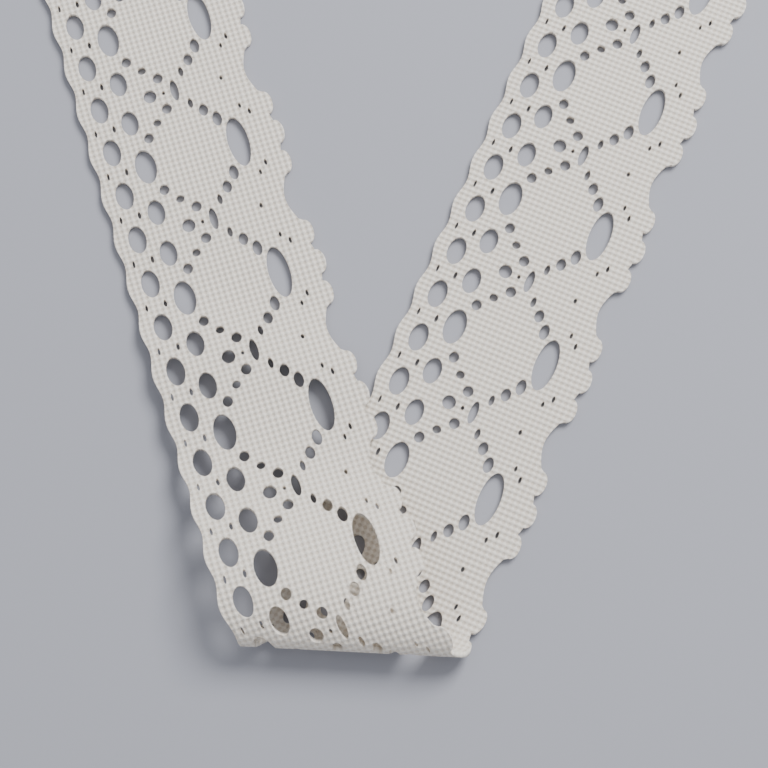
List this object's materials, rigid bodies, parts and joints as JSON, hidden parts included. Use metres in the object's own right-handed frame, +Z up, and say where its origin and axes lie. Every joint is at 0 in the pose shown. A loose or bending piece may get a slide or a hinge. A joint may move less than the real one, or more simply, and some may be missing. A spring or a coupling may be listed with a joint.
{
  "type": "folded length of lace trim",
  "caption": "Cut length of cream cotton lace edging with a scalloped edge, folded over once into a V and lying flat.",
  "frame": {"origin": "centre of the bounding box on the surface that the lace lies on", "axes": "+Z up, +Y from the fold towards the two cut ends, +X to the right seen from the fold"},
  "size_m": [0.1691, 0.1852, 0.012],
  "materials": {
    "lace": "matte undyed cotton yarn, slightly fuzzy"
  },
  "bodies": {
    "root": {"lace_trim": "lace"}
  },
  "joints": []
}
